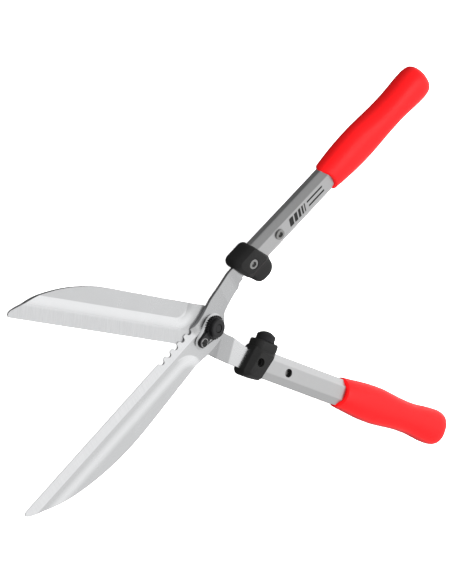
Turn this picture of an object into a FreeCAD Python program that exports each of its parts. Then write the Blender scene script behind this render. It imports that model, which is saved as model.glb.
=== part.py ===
import FreeCAD, Part
import math
import os

V = FreeCAD.Vector

# ---------------------------------------------------------------- driving dimensions, mm and degrees
# The shears lie open. +Z is the pivot axis, towards the toothed nut. +X runs from the pivot to the
# handles along the line midway between the arms. The origin is the flat underside of the bolt head.
HALF_OPEN = 28.0          # each arm is turned this far from the +X line
CONTACT_Z = 7.2           # height of the plane in which the two blades slide on each other
BLADE_GAP = 0.1           # free play between the two blades
PLATE = 3.0               # steel thickness of blade and neck
PRESS = 3.0               # how far the blade's back is pressed outwards

PIVOT_R = 5.0
RUNNING = 0.05            # radial clearance round the pivot shaft
HEAD_R = 11.0
HEAD_H = 3.2
THREAD_R = 4.0
NUT_WASHER_H = 0.5
NUT_WASHER_R = 9.6
BOSS_H = 1.2
BOSS_R = 12.8             # the boss's foot, round the pivot
BOSS_NOSE_R = 7.3         # the boss's foot, round the locking screw
BOSS_RIM = 3.0            # width of the boss's sloping rim

NUT_R = 11.3
NUT_H = 2.2
NUT_TEETH = 28
TOOTH = 1.6
HUB_R = 8.9
HUB_H = 3.9
HUB_ROUND = 1.6

SCREW_AT = 19.1           # locking screw's distance from the pivot
SCREW_TURN = 180.3        # its direction on the upper arm
SCREW_HEAD_R = 4.1
SCREW_HEAD_H = 1.6
SCREW_R = 2.0
SLOT_TURN = -48.0         # how the screw's slot happens to stand
EYE_R = 5.1               # the locking segment's round end
SEGMENT_R = 3.6           # half the segment's width at the nut
SEGMENT_H = 2.2

HANDLE_TURN = 4.8         # plan angle between blade arm and handle
HANDLE_RISE = 11.6        # handle's rise out of the blades' plane
JOINT = V(64.6, 20.5, 5.6)   # a point of the handle's axis, from the pivot and the contact plane
COLLAR_BOLT_X = 1.5       # the two handle bolts, along the handle from JOINT
TUBE_BOLT_X = 39.2
TUBE_X = (-3.0, 231.0)
TUBE_W = 25.4
TUBE_T = 15.0
TUBE_WALL = 1.8
TUBE_SIDE = 6.6           # height of the tube's flat sides
TUBE_FLAT = 13.0          # width of the tube's flat faces
TANG_W = 17.0
TANG_X = (-12.0, 58.0)
SLOT_GAP = 0.1

BOLT_R = 3.0
BOLT_HEAD_R = 5.0
BOLT_HEAD_H = 2.6
SLEEVE_R = 4.0
COLLAR_TOP = 10.6         # half the collar's height
COLLAR_CHAMFER = 3.4
COLLAR_SEAT = 7.6         # where the collar bolt's head and nut bear
TUBE_SEAT = 6.4
LOBE_END = -27.0          # the anvil lobe's striking face
BUFFER_X = 6.5            # the buffer's place along the handle
BUFFER_R = 8.9
BUFFER_REACH = 29.8       # the dome's crown, from the handle's axis
DOME_R = 12.5
FLANGE_R = 13.0
GRIP_X = (107.0, 245.4)
GRIP_BORE_END = 235.0

# Each arm's plan, in its own frame before it is turned open: x towards the handle, y towards the
# other blade's side of the edge. The edge is a straight line that leaves the pivot at edge_y.
UPPER = dict(
    edge_y=17.0, edge_turn=4.45, edge_start=-21.5, tip=(-264.8, 35.0),
    back=[(-265.0, 32.5), (-205.0, 4.2), (-119.0, -10.9), (-39.6, -11.2)],
    heel=[
        (-39.6, -11.2), (-30.0, -15.0), (-18.0, -17.4), (-5.0, -18.2), (4.5, -16.9),
        (10.8, -12.6), (18.6, -1.4)],
    inside=[(18.6, -1.4), (25.5, 1.3), (36.5, 3.7), (44.5, 4.6)],
    shoulder=[(48.6, 8.4), (60.0, 9.4)],
    outside=[(60.0, 28.6), (49.5, 27.1), (42.3, 26.3), (28.0, 24.6), (13.0, 23.2), (3.6, 20.8), (-11.7, 17.9)],
    rise=[(43.4, 0.0)],
    bevel=9.4,
)
LOWER = dict(
    edge_y=20.6, edge_turn=3.4, edge_start=-22.9, tip=(-263.6, 34.4),
    back=[(-263.4, 30.6), (-206.0, 1.9), (-150.0, -9.6), (-38.0, -15.4)],
    heel=[(-38.0, -15.4), (-22.9, -16.4), (-8.0, -17.0), (4.0, -14.9), (10.5, -8.6), (14.5, -2.6)],
    inside=[(14.5, -2.6), (21.8, 2.5), (35.4, 4.6), (46.5, 8.2)],
    shoulder=[(49.5, 9.6), (60.0, 10.4)],
    outside=[(60.0, 30.8), (41.4, 29.3), (21.5, 27.0), (8.3, 24.9), (-3.0, 23.0), (-15.0, 22.0)],
    rise=[(19.4, 0.0), (36.5, 1.5)],
    bevel=9.4,
)
# The blade's cross-section, as distances from the cutting edge towards the back
LAND_END = 13.0           # outer face: the pressed flank starts
FLANK_END = 24.0          # outer face: the flank reaches the raised back
INNER_START = 12.0        # inner face: the hollow's slope starts
INNER_END = 23.0          # inner face: the slope reaches the hollow's floor
EDGE_THICK = 0.5
NOTCHES = 5
NOTCH_FIRST = -24.0
NOTCH_PITCH = 10.2
NOTCH_R = 2.7


# ---------------------------------------------------------------- frames and small helpers
def arm_placement(side, shape):
    """Turn a shape from the arm's own frame to its open place; side is +1 upper, -1 lower."""
    placed = shape.copy()
    if side < 0:
        placed = placed.mirror(V(0, 0, 0), V(0, 1, 0))
    placed.rotate(V(0, 0, 0), V(0, 0, 1), side * HALF_OPEN)
    placed.translate(V(0, 0, CONTACT_Z))
    return placed


def handle_to_arm(shape):
    """Carry a shape from the handle's frame (x along the tube) to the arm's frame."""
    placed = shape.copy()
    placed.rotate(V(0, 0, 0), V(0, 1, 0), -HANDLE_RISE)
    placed.rotate(V(0, 0, 0), V(0, 0, 1), HANDLE_TURN)
    placed.translate(JOINT)
    return placed


def on_handle(side, shape):
    return arm_placement(side, handle_to_arm(shape))


def save(name, shape):
    """Write one node as STEP, as a single valid solid."""
    solid = shape.removeSplitter() if shape.ShapeType != "Solid" else shape
    if len(solid.Solids) == 1:
        solid = solid.Solids[0]
    if not solid.isValid() or not solid.Solids:
        raise RuntimeError(name + " is not a valid solid")
    solid.exportStep("parts/" + name + ".step")


def polygon(points, z=0.0):
    corners = [V(p[0], p[1], z) for p in points]
    return Part.makePolygon(corners + corners[:1])


def prism(points, z_low, z_high):
    return Part.Face(polygon(points, z_low)).extrude(V(0, 0, z_high - z_low))


def disc(radius, z_low, z_high, x=0.0, y=0.0):
    return Part.makeCylinder(radius, z_high - z_low, V(x, y, z_low))


def box(x, y, z):
    return Part.makeBox(x[1] - x[0], y[1] - y[0], z[1] - z[0], V(x[0], y[0], z[0]))


def curve(points):
    line = Part.BSplineCurve()
    line.interpolate([V(p[0], p[1], 0) for p in points])
    return line.toShape()


def line(a, b):
    return Part.makeLine(V(a[0], a[1], 0), V(b[0], b[1], 0))


# ---------------------------------------------------------------- blades
def edge_height(arm, x):
    """y of the cutting edge at x."""
    return arm["edge_y"] - x * math.tan(math.radians(arm["edge_turn"]))


def edge_frame(arm, shape):
    """Carry a shape whose x axis is the cutting edge (y towards the back is negative) to the arm."""
    placed = shape.copy()
    placed.rotate(V(0, 0, 0), V(0, 0, 1), -arm["edge_turn"])
    placed.translate(V(0, arm["edge_y"], 0))
    return placed


def plan_face(arm):
    """The arm's outline: straight edge, round tip, curved back, heel round the pivot, neck."""
    start = arm["edge_start"]
    edge_near = (start, edge_height(arm, start))
    edge_far = (arm["tip"][0] + 3.0, edge_height(arm, arm["tip"][0] + 3.0))
    back = arm["back"]
    tip_mid = V(arm["tip"][0] - 1.4, arm["tip"][1], 0)
    tip = Part.Arc(V(*edge_far, 0), tip_mid, V(*back[0], 0)).toShape()
    sweep = Part.Arc(V(*back[0], 0), V(*back[1], 0), V(*back[2], 0)).toShape()
    edges = [
        line(edge_near, edge_far), tip, sweep, line(back[2], back[3]),
        curve(arm["heel"]), curve(arm["inside"]),
        line(arm["inside"][-1], arm["shoulder"][0]), line(*arm["shoulder"]),
        line(arm["shoulder"][1], arm["outside"][0]), curve(arm["outside"]),
        line(arm["outside"][-1], edge_near),
    ]
    return Part.Face(Part.Wire(edges))


def thumb_wire(near, inset, radius, z):
    """A region open to back and tip, bounded by a line beside the edge and a round near end."""
    far = -320.0
    low = -90.0
    bend = 0.7071
    corner = [
        (far, -inset), (near - radius, -inset),
        (near - radius + bend * radius, -inset - radius + bend * radius),
        (near, -inset - radius), (near + 2.0, low), (far, low),
    ]
    p = [V(c[0], c[1], z) for c in corner]
    return Part.Wire([
        Part.makeLine(p[0], p[1]), Part.Arc(p[1], p[2], p[3]).toShape(),
        Part.makeLine(p[3], p[4]), Part.makeLine(p[4], p[5]), Part.makeLine(p[5], p[0]),
    ])


def pressed_form(arm, ends, insets, z_low):
    """Frustum of the pressing, between its outline at z_low and its smaller one PRESS higher."""
    wide = thumb_wire(ends[0], insets[0], 22.0, z_low)
    narrow = thumb_wire(ends[1], insets[1], 12.0, z_low + PRESS)
    return edge_frame(arm, Part.makeLoft([wide, narrow], True, True))


def blade_plate(arm):
    """Blade and heel with outer side up: flat land, back pressed outwards, hollow behind it."""
    face = plan_face(arm)
    plate = face.extrude(V(0, 0, PLATE))
    raised = face.extrude(V(0, 0, PLATE + PRESS))
    outer = pressed_form(arm, (-30.0, -41.0), (LAND_END, FLANK_END), PLATE)
    plate = plate.fuse(raised.common(outer))
    hollow = pressed_form(arm, (-24.0, -34.0), (INNER_START, INNER_END), 0.0)
    lead = edge_frame(arm, Part.Face(thumb_wire(-24.0, INNER_START, 22.0, -1.0)).extrude(V(0, 0, 1.0)))
    plate = plate.cut(hollow.fuse(lead))
    rise = (PLATE - EDGE_THICK) / arm["bevel"]
    section = [V(0, 3.0, EDGE_THICK - 3.0 * rise), V(0, -arm["bevel"], PLATE), V(0, 3.0, 9.0)]
    bevel = Part.Face(Part.makePolygon(section + section[:1])).extrude(V(300.0, 0, 0))
    bevel.translate(V(arm["edge_start"] - 299.0, 0, 0))
    return plate.cut(edge_frame(arm, bevel))


def notched(arm, plate):
    """Cut the branch-holding notches, each a slanted gullet with a round end, into the edge."""
    for i in range(NOTCHES):
        x = NOTCH_FIRST - i * NOTCH_PITCH
        y = edge_height(arm, x)
        gullet = disc(NOTCH_R, -1.0, 9.0, x, y - 1.2)
        mouth = prism([(x - 2.6, y - 1.8), (x + 2.6, y - 1.8), (x + 1.4, y + 3.0), (x - 5.0, y + 3.0)], -1.0, 9.0)
        plate = plate.cut(gullet.fuse(mouth))
    return plate


def neck_profile(arm, flat_z):
    """Side view of the neck plate: flat at the pivot, then bent up towards the handle."""
    stations = [(-60.0, 0.0)] + arm["rise"]
    slope = math.tan(math.radians(HANDLE_RISE))
    last = stations[-1]
    stations = stations + [(66.0, last[1] + (66.0 - last[0]) * slope)]
    top = [V(x, -60.0, flat_z + z + PLATE) for x, z in stations]
    low = [V(x, -60.0, flat_z + z) for x, z in stations]
    return Part.Face(Part.makePolygon(top + low[::-1] + top[:1])).extrude(V(0, 120.0, 0))


def tang():
    """The tongue that runs up inside the tube, in the handle's frame."""
    return box(TANG_X, (-TANG_W / 2, TANG_W / 2), (-PLATE / 2, PLATE / 2))


def cross_holes(radius, height=40.0):
    """Drillings for the two handle bolts, in the handle's frame."""
    first = disc(radius, -height / 2, height / 2, COLLAR_BOLT_X)
    second = disc(radius, -height / 2, height / 2, TUBE_BOLT_X)
    return first.fuse(second)


def teardrop(radius_pivot, radius_screw, z):
    """Outline round two circles, one at the pivot and one at the locking screw."""
    turn = math.radians(SCREW_TURN)
    away = V(math.cos(turn), math.sin(turn), 0)
    across = V(-math.sin(turn), math.cos(turn), 0)
    lean = (radius_pivot - radius_screw) / SCREW_AT
    hold = math.sqrt(1.0 - lean * lean)
    corners = []
    for centre, radius in ((V(0, 0, 0), radius_pivot), (away * SCREW_AT, radius_screw)):
        up = centre + away * (lean * radius) + across * (hold * radius) + V(0, 0, z)
        down = centre + away * (lean * radius) - across * (hold * radius) + V(0, 0, z)
        corners.append((up, down))
    back = away * -radius_pivot + V(0, 0, z)
    nose = away * (SCREW_AT + radius_screw) + V(0, 0, z)
    return Part.Wire([
        Part.Arc(corners[0][1], back, corners[0][0]).toShape(),
        Part.makeLine(corners[0][0], corners[1][0]),
        Part.Arc(corners[1][0], nose, corners[1][1]).toShape(),
        Part.makeLine(corners[1][1], corners[0][1]),
    ])


def boss():
    """Raised pad with a sloping rim that carries the nut, the segment and its screw."""
    wide = teardrop(BOSS_R, BOSS_NOSE_R, PLATE)
    narrow = teardrop(BOSS_R - BOSS_RIM, BOSS_NOSE_R - BOSS_RIM, PLATE + BOSS_H)
    return Part.makeLoft([wide, narrow], True, True)


def screw_place():
    turn = math.radians(SCREW_TURN)
    return SCREW_AT * math.cos(turn), SCREW_AT * math.sin(turn)


def arm_steel(arm, outer_up):
    """One blade with its neck and tang, in the arm's frame, contact face at half the gap."""
    plate = blade_plate(arm)
    if outer_up:
        plate = notched(arm, plate).fuse(boss())
    blade_side = box((-320.0, 12.0), (-90.0, 90.0), (-20.0, 20.0))
    blade = plate.common(blade_side)
    flat_z = 0.0
    if not outer_up:
        blade = blade.mirror(V(0, 0, 0), V(0, 0, 1))
        flat_z = -PLATE
    neck_side = box((12.0, 62.0), (-90.0, 90.0), (-20.0, 40.0))
    neck = plan_face(arm).extrude(V(0, 0, 60.0))
    neck.translate(V(0, 0, -20.0))
    neck = neck.common(neck_profile(arm, flat_z)).common(neck_side)
    offset = BLADE_GAP / 2 if outer_up else -BLADE_GAP / 2
    steel = blade.fuse(neck)
    steel.translate(V(0, 0, offset))
    if outer_up:
        steel = steel.cut(disc(SCREW_R + SLOT_GAP, -5.0, 9.0, *screw_place()))
    steel = steel.cut(disc(PIVOT_R + RUNNING, -20.0, 20.0))
    inside_collar = handle_to_arm(box((-12.0, 20.0), (-40.0, 40.0), (-30.0, 30.0)))
    steel = steel.cut(inside_collar)
    steel = steel.fuse(handle_to_arm(tang()))
    return steel.cut(handle_to_arm(cross_holes(SLEEVE_R + SLOT_GAP)))


# ---------------------------------------------------------------- pivot
def pivot_bolt():
    low = -CONTACT_Z
    head = disc(HEAD_R, low, low + HEAD_H)
    rim = [e for e in head.Edges if abs(e.BoundBox.ZMax - low) < 1e-6 and len(e.Vertexes) == 1]
    head = head.makeChamfer(0.8, rim)
    shaft_top = PLATE + BOSS_H
    stud_top = shaft_top + NUT_WASHER_H + NUT_H + HUB_H - 0.4
    shaft = disc(PIVOT_R, low + HEAD_H, shaft_top)
    stud = disc(THREAD_R, shaft_top, stud_top)
    end = [e for e in stud.Edges if e.BoundBox.ZMin > stud_top - 1e-6]
    return head.fuse(shaft).fuse(stud.makeChamfer(0.7, end))


def hexagon(flat, z_low, z_high, x=0.0, y=0.0):
    """A six-sided prism, flat being the distance from its middle to a side."""
    far = flat / math.cos(math.radians(30.0))
    corners = []
    for i in range(6):
        turn = math.radians(60.0 * i)
        corners.append((x + far * math.cos(turn), y + far * math.sin(turn)))
    return prism(corners, z_low, z_high)


def ring(outer, inner, z_low, z_high):
    return disc(outer, z_low, z_high).cut(disc(inner, z_low - 1.0, z_high + 1.0))


def tooth_outline(crest, root, turn):
    """A ring of flat-topped teeth as a closed polygon."""
    corners = []
    for i in range(NUT_TEETH):
        for share, radius in ((0.0, root), (0.3, crest), (0.55, crest), (0.85, root)):
            angle = 2.0 * math.pi * (i + share) / NUT_TEETH + turn
            corners.append((radius * math.cos(angle), radius * math.sin(angle)))
    return corners


def toothed_nut(z_low):
    teeth = prism(tooth_outline(NUT_R, NUT_R - TOOTH, 0.0), z_low, z_low + NUT_H)
    crown = z_low + NUT_H + HUB_H
    hub = disc(HUB_R, z_low + NUT_H, crown)
    rim = [e for e in hub.Edges if e.BoundBox.ZMin > crown - 1e-6]
    nut = teeth.fuse(hub.makeFillet(HUB_ROUND, rim))
    return nut.cut(disc(THREAD_R + RUNNING, z_low - 1.0, z_low + 12.0))


def locking_segment(z_low):
    """Toothed pawl that holds the nut against turning, with the screw's eye."""
    top = z_low + SEGMENT_H
    outline = Part.Face(teardrop(SEGMENT_R, EYE_R, z_low)).extrude(V(0, 0, SEGMENT_H))
    near_screw = box((-40.0, -NUT_R + TOOTH), (-20.0, 20.0), (z_low, top))
    wheel = prism(tooth_outline(NUT_R + 0.15, NUT_R - TOOTH + 0.15, 0.0), z_low - 1.0, top + 1.0)
    washer_room = disc(NUT_WASHER_R + 0.2, z_low - 1.0, top + 1.0)
    segment = outline.common(near_screw).cut(wheel.fuse(washer_room))
    return segment.cut(disc(SCREW_R + SLOT_GAP, z_low - 1.0, top + 1.0, *screw_place()))


def segment_screw(z_low):
    x, y = screw_place()
    seat = z_low + SEGMENT_H
    head = disc(SCREW_HEAD_R, seat, seat + SCREW_HEAD_H, x, y)
    stem = disc(SCREW_R, 0.6, seat, x, y)
    slot = box((-6.0, 6.0), (-0.5, 0.5), (seat + 0.8, seat + 4.0))
    slot.rotate(V(0, 0, 0), V(0, 0, 1), SLOT_TURN)
    slot.translate(V(x, y, 0))
    return head.fuse(stem).cut(slot)


# ---------------------------------------------------------------- handles, in the handle's frame
def tube_section(grow, x):
    """Eight-cornered outline of the tube: flat faces, sloping shoulders, short flat sides."""
    half_w = TUBE_W / 2 + grow
    half_t = TUBE_T / 2 + grow
    flat = TUBE_FLAT / 2 + 0.5 * grow
    side = TUBE_SIDE / 2 + 0.5 * grow
    corners = [
        (flat, half_t), (half_w, side), (half_w, -side), (flat, -half_t),
        (-flat, -half_t), (-half_w, -side), (-half_w, side), (-flat, half_t),
    ]
    points = [V(x, y, z) for y, z in corners]
    return Part.makePolygon(points + points[:1])


def tube_solid(grow, x_low, x_high):
    return Part.Face(tube_section(grow, x_low)).extrude(V(x_high - x_low, 0, 0))


def handle_tube(side):
    outer = tube_solid(0.0, *TUBE_X)
    long_edges = [e for e in outer.Edges if abs(e.Length - (TUBE_X[1] - TUBE_X[0])) < 1e-6]
    outer = outer.makeFillet(1.6, long_edges)
    inner = tube_solid(-TUBE_WALL, TUBE_X[0] - 1.0, TUBE_X[1] + 1.0)
    drilled = stepped_drilling(TUBE_BOLT_X, side, TUBE_SEAT)
    return outer.cut(inner).cut(cross_holes(SLEEVE_R + SLOT_GAP)).cut(drilled)


def tang_insert():
    """Moulded filler that centres the tang in the tube, slotted for it from the lower end."""
    body = tube_solid(-TUBE_WALL - SLOT_GAP, TUBE_X[0], 64.0)
    half_w = TANG_W / 2 + SLOT_GAP
    half_t = PLATE / 2 + SLOT_GAP
    slot = box((TUBE_X[0] - 1.0, TANG_X[1] + 1.0), (-half_w, half_w), (-half_t, half_t))
    return body.cut(slot).cut(cross_holes(SLEEVE_R + SLOT_GAP))


def cap_screw(x, up, seat):
    """Low socket-head bolt through the handle; its head is on the side up points to."""
    top = seat + BOLT_HEAD_H
    head = disc(BOLT_HEAD_R, seat, top, x)
    rim = [e for e in head.Edges if e.BoundBox.ZMin > top - 1e-6]
    head = head.makeFillet(0.6, rim)
    shank = disc(BOLT_R, 3.0 - seat, seat, x)
    bolt = head.fuse(shank).cut(hexagon(2.5, top - 2.0, top + 1.0, x))
    return bolt if up > 0 else bolt.mirror(V(0, 0, 0), V(0, 0, 1))


def sleeve_nut(x, up, seat):
    """Sleeve nut that lines the drilling, sunk in it opposite the bolt's head."""
    sleeve = disc(SLEEVE_R, -1.0, seat - 1.4, x)
    nut = sleeve.cut(disc(BOLT_R + RUNNING, -9.0, seat + 1.0, x))
    return nut.mirror(V(0, 0, 0), V(0, 0, 1)) if up > 0 else nut


def collar_block(corners, top, soften):
    """A skewed block round the tube's end, its upright corners and rims rounded."""
    block = prism(corners, -top, top)
    upright = [e for e in block.Edges if abs(e.BoundBox.ZLength - 2 * top) < 1e-6]
    block = block.makeFillet(soften, upright)
    rims = [e for e in block.Edges if e.BoundBox.ZLength < 1e-6]
    return block.makeChamfer(COLLAR_CHAMFER, rims)


def collar_openings():
    """Room for the tube's end, the tang and the bolt in a collar."""
    tube_room = tube_solid(SLOT_GAP, TUBE_X[0] - SLOT_GAP, 60.0)
    half_w = TANG_W / 2 + 3.0
    tang_room = box((-40.0, TUBE_X[0]), (-half_w, half_w), (-PLATE / 2 - 0.6, PLATE / 2 + 0.6))
    return tube_room.fuse(tang_room)


def stepped_drilling(x, up, seat):
    """Drilling for a bolt, wide on the side up points to for its head."""
    through = disc(SLEEVE_R + SLOT_GAP, -30.0, 30.0, x)
    head_room = disc(BOLT_HEAD_R + SLOT_GAP, seat, 30.0, x)
    return through.fuse(head_room if up > 0 else head_room.mirror(V(0, 0, 0), V(0, 0, 1)))


ANVIL_BLOCK = [(-17.0, 15.0), (11.0, 15.0), (20.0, -13.0), (-8.0, -13.0)]
BUFFER_BLOCK = [(-13.5, 16.5), (9.0, 16.5), (19.5, -15.0), (-6.5, -15.0)]
LOBE_TOP = 7.0
LOBE_PLAN = [(-6.0, -10.0), (19.0, -10.0), (19.0, -20.0), (14.0, LOBE_END), (1.0, LOBE_END), (-6.0, -20.0)]


def anvil_collar():
    """Upper arm's collar with the flat lobe that the buffer strikes."""
    body = collar_block(ANVIL_BLOCK, COLLAR_TOP, 5.0)
    lobe = prism(LOBE_PLAN, -LOBE_TOP, LOBE_TOP)
    upright = [e for e in lobe.Edges if abs(e.BoundBox.ZLength - 2 * LOBE_TOP) < 1e-6]
    upright = [e for e in upright if e.BoundBox.YMin < -15.0]
    lobe = lobe.makeFillet(4.0, upright)
    drilled = stepped_drilling(COLLAR_BOLT_X, 1, COLLAR_SEAT)
    return body.fuse(lobe).cut(collar_openings()).cut(drilled)


def across_disc(radius, y_near, y_far, x=BUFFER_X):
    """A disc whose axis points from the handle towards the other arm."""
    return Part.makeCylinder(radius, y_far - y_near, V(x, -y_near, 0), V(0, -1, 0))


def buffer_collar():
    """Lower arm's collar with the round flange and socket that hold the rubber buffer."""
    body = collar_block(BUFFER_BLOCK, COLLAR_TOP, 4.0)
    flange = across_disc(FLANGE_R, 12.0, 20.5)
    flange = flange.common(box((-20.0, 40.0), (-30.0, 0.0), (-COLLAR_TOP + 0.5, COLLAR_TOP - 0.5)))
    socket = across_disc(5.1, 14.0, 30.0)
    drilled = stepped_drilling(COLLAR_BOLT_X, -1, COLLAR_SEAT)
    return body.fuse(flange).cut(collar_openings()).cut(drilled).cut(socket)


def rubber_buffer():
    stem = across_disc(5.0, 14.2, 21.0)
    drum = across_disc(BUFFER_R, 20.6, 25.0)
    ball = Part.makeSphere(DOME_R, V(BUFFER_X, DOME_R - BUFFER_REACH, 0))
    dome = ball.common(across_disc(BUFFER_R, 20.6, BUFFER_REACH + 1.0))
    return stem.fuse(drum).fuse(dome)


def grip_ring(x, half_w, half_t):
    """Oval section of the grip."""
    edge = Part.Ellipse(V(x, 0, 0), half_w, half_t).toShape()
    edge.rotate(V(x, 0, 0), V(0, 1, 0), 90)
    edge.rotate(V(x, 0, 0), V(1, 0, 0), 90)
    return Part.Wire([edge])


GRIP_STATIONS = [
    (GRIP_X[0], 14.4, 12.4), (120.0, 15.5, 13.0), (138.0, 17.1, 13.2), (155.0, 17.6, 13.4),
    (181.0, 15.5, 13.8), (201.0, 15.0, 14.0), (220.0, 16.6, 14.2), (233.0, 17.3, 14.4),
    (240.5, 15.8, 13.2), (GRIP_X[1] - 1.4, 11.6, 9.8), (GRIP_X[1] - 0.3, 6.8, 5.8),
    (GRIP_X[1], 2.2, 1.9),
]


def grip():
    """Swelling hand grip, closed at its end, bored for the tube."""
    skin = Part.makeLoft([grip_ring(*station) for station in GRIP_STATIONS], True, False)
    return skin.cut(tube_solid(SLOT_GAP, GRIP_X[0] - 5.0, GRIP_BORE_END))


# ---------------------------------------------------------------- everything, piece by piece
def main():
    os.makedirs("parts", exist_ok=True)
    pad = PLATE + BLADE_GAP / 2 + BOSS_H
    nut_low = pad + NUT_WASHER_H
    raised = V(0, 0, CONTACT_Z)

    def lifted(shape):
        shape.translate(raised)
        return shape

    def turned(shape):
        return arm_placement(1, shape)

    save("upper_blade", turned(arm_steel(UPPER, True)))
    save("lower_blade", arm_placement(-1, arm_steel(LOWER, False)))
    save("pivot_bolt", lifted(pivot_bolt()))
    head_top = -CONTACT_Z + HEAD_H
    save("head_washer", lifted(ring(10.5, PIVOT_R + RUNNING, head_top, -PLATE - BLADE_GAP)))
    save("nut_washer", lifted(ring(NUT_WASHER_R, PIVOT_R + RUNNING, pad, nut_low)))
    save("toothed_nut", turned(toothed_nut(nut_low)))
    save("locking_segment", turned(locking_segment(pad)))
    save("segment_screw", turned(segment_screw(pad)))

    for side, arm in ((1, "upper"), (-1, "lower")):
        save(arm + "_handle_tube", on_handle(side, handle_tube(side)))
        save(arm + "_tang_insert", on_handle(side, tang_insert()))
        save(arm + "_grip", on_handle(side, grip()))
        for place, x, seat in (("collar", COLLAR_BOLT_X, COLLAR_SEAT), ("tube", TUBE_BOLT_X, TUBE_SEAT)):
            save(arm + "_" + place + "_bolt", on_handle(side, cap_screw(x, side, seat)))
            save(arm + "_" + place + "_nut", on_handle(side, sleeve_nut(x, side, seat)))
    save("anvil_collar", on_handle(1, anvil_collar()))
    save("buffer_collar", on_handle(-1, buffer_collar()))
    save("rubber_buffer", on_handle(-1, rubber_buffer()))


main()
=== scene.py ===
import math

import bmesh
import bpy
import numpy as np
from mathutils import Matrix


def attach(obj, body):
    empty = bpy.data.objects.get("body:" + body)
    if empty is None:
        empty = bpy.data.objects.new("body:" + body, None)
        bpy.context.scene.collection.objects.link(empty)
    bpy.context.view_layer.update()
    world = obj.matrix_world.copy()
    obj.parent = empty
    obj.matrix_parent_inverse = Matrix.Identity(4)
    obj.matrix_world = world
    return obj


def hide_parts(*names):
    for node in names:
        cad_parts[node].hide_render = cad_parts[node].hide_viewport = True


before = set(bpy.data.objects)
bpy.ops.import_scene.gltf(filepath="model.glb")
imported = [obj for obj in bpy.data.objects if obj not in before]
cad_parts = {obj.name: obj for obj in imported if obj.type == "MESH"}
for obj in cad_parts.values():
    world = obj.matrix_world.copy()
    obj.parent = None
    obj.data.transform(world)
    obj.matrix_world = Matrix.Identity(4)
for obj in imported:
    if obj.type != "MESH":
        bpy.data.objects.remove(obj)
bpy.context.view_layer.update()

bl_info = {
    "name": "Hedge shears",
    "version": (1, 0, 0),
    "blender": (4, 5, 0),
    "location": "3D View > Sidebar > Hedge shears",
    "description": "Shapes, finishes and studio for a pair of hand hedge shears",
    "category": "Object",
}

MM = 0.001
UPPER_BODY = "upper_arm"
LOWER_BODY = "lower_arm"

# Plans of the two arms, in millimetres, in the arm's own frame: x towards the handle, the cutting
# edge on the +y side, the other arm on the -y side near the handles. Each list runs along x.
UPPER_PLAN = {
    "edge_y": 17.0, "edge_turn": 4.45, "tip_y": 35.0,
    "back": [(-265.0, 32.5), (-250.0, 23.8), (-235.0, 16.2), (-220.0, 9.7), (-205.0, 4.2), (-190.0, -0.4),
             (-175.0, -4.2), (-160.0, -7.1), (-145.0, -9.15), (-132.0, -10.3), (-119.0, -10.85),
             (-80.0, -11.05), (-39.6, -11.2), (-30.0, -15.0), (-18.0, -17.4), (-5.0, -18.2), (4.5, -16.9),
             (10.8, -12.6), (15.0, -6.4), (18.6, -1.4), (25.5, 1.3), (36.5, 3.7), (44.5, 4.6), (48.6, 8.4),
             (56.0, 9.2)],
    "front": [(-21.5, 18.7), (-11.7, 17.9), (-4.0, 18.9), (3.6, 20.8), (13.0, 23.2), (28.0, 24.6),
              (42.3, 26.3), (49.5, 27.1), (56.0, 28.0)],
    "rise": [(-300.0, 0.0), (42.4, 0.0), (44.4, 0.2), (54.0, 2.2)],
}
LOWER_PLAN = {
    "edge_y": 20.6, "edge_turn": 3.4, "tip_y": 34.4,
    "back": [(-263.4, 30.6), (-250.0, 22.4), (-235.0, 13.9), (-220.0, 7.2), (-206.0, 1.9), (-190.0, -2.8),
             (-170.0, -6.9), (-150.0, -9.6), (-120.0, -11.2), (-80.0, -13.2), (-38.0, -15.4), (-22.9, -16.4),
             (-8.0, -17.0), (4.0, -14.9), (10.5, -8.6), (14.5, -2.6), (18.0, 0.4), (21.8, 2.5), (35.4, 4.6),
             (46.5, 8.2), (49.5, 9.6), (56.0, 10.1)],
    "front": [(-22.9, 22.0), (-15.0, 22.0), (-3.0, 23.0), (8.3, 24.9), (21.5, 27.0), (41.4, 29.3),
              (56.0, 30.5)],
    "rise": [(-300.0, 0.0), (18.6, 0.0), (20.2, 0.1), (35.7, 1.43), (37.3, 1.63), (54.0, 5.1)],
}
TIP_X = {"upper": -266.2, "lower": -265.0}
TIP_ROUND = 3.2
NECK_END = 53.0
TANG_FAR = 121.0
TANG_HALF = 8.5


def length(name, description, default):
    return bpy.props.FloatProperty(name=name, description=description, default=default, unit="LENGTH")


def angle(name, description, degrees):
    return bpy.props.FloatProperty(
        name=name, description=description, default=math.radians(degrees), unit="ROTATION")


def tint(name, description, red, green, blue):
    return bpy.props.FloatVectorProperty(
        name=name, description=description, subtype="COLOR", size=4, default=(red, green, blue, 1.0))


class ShearsSizes(bpy.types.PropertyGroup):
    """Sizes that a user would change."""
    half_open: angle("Half opening", "Angle of each arm from the middle line", 28.0)
    contact: length("Contact height", "Height of the plane in which the blades slide", 0.0072)
    gap: length("Blade gap", "Free play between the blades", 0.0001)
    plate: length("Steel thickness", "Thickness of blade and neck", 0.003)
    press: length("Pressing depth", "How far the back is pressed outwards", 0.003)
    edge: length("Edge thickness", "Thickness left at the cutting edge", 0.0005)
    bevel: length("Bevel width", "Width of the ground bevel", 0.0094)
    notch: length("Notch radius", "Radius of the branch notches", 0.0027)
    handle_turn: angle("Handle turn", "Plan angle between blade arm and handle", 4.8)
    handle_rise: angle("Handle rise", "Rise of the handle out of the blades' plane", 11.6)
    boss: length("Boss height", "Height of the pad under the nut", 0.0012)
    buffer: length("Buffer radius", "Radius of the rubber buffer", 0.0089)
    grip_start: length("Grip start", "Where the grip begins along the handle", 0.107)


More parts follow.
